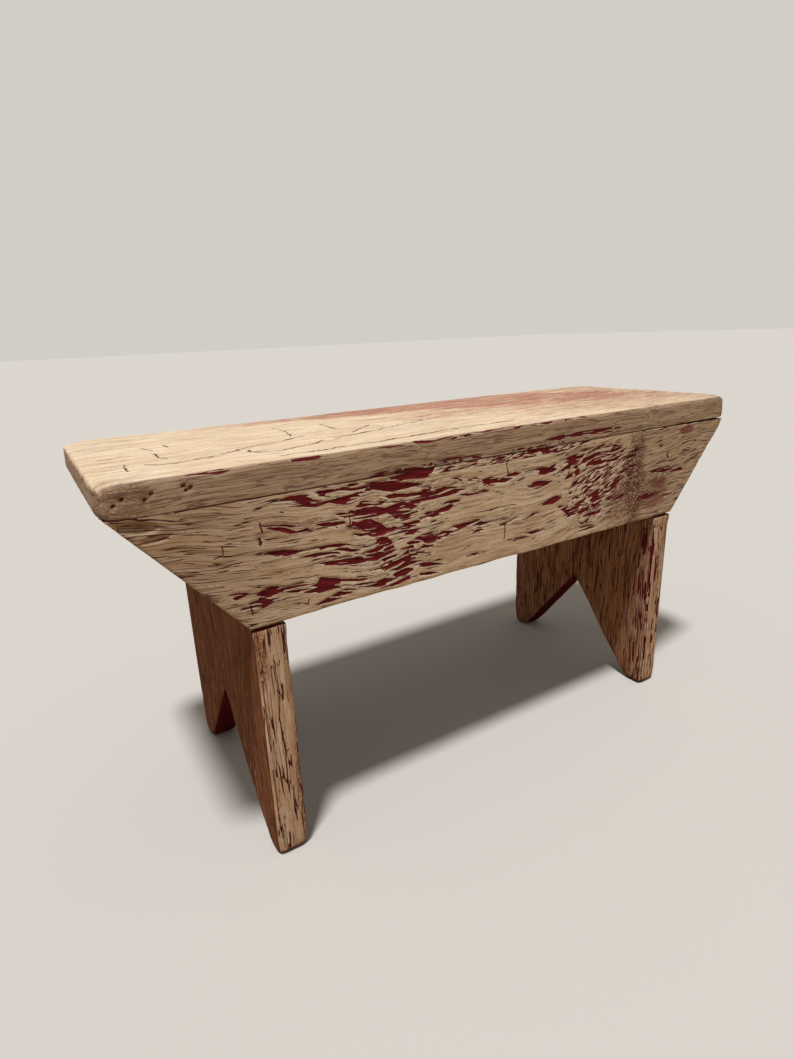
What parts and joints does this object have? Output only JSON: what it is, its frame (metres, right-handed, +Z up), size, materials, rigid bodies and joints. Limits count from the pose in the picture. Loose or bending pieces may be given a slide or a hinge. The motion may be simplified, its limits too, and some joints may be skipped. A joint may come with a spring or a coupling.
{
  "type": "bucket bench",
  "caption": "Low nailed bench: a plank seat on two board legs with V-cut feet, and slant-ended aprons housed into the legs' edges; crackled cream paint over red.",
  "frame": {"origin": "centre of the bench's footprint, on the floor", "axes": "+X along the bench to its right end, +Y from front to back, +Z up"},
  "size_m": [0.61, 0.203, 0.308],
  "materials": {
    "seat_paint": "dry cream paint, crackled along the grain and rubbed through to oxblood red",
    "apron_paint": "thick cream paint pulled apart into long openings that show oxblood red",
    "leg_paint": "cream paint cracked along upright grain, with red in the cracks and on the V cut",
    "nail_iron": "dark rusted wrought iron"
  },
  "bodies": {
    "root": {"seat_board": "seat_paint", "front_apron": "apron_paint", "rear_apron": "apron_paint", "left_leg": "leg_paint", "right_leg": "leg_paint", "seat_nails_left_leg": "nail_iron", "seat_nails_right_leg": "nail_iron", "seat_nails_front_apron": "nail_iron", "seat_nails_rear_apron": "nail_iron", "front_apron_nails_left_leg": "nail_iron", "front_apron_nails_right_leg": "nail_iron", "rear_apron_nails_left_leg": "nail_iron", "rear_apron_nails_right_leg": "nail_iron"}
  },
  "joints": []
}
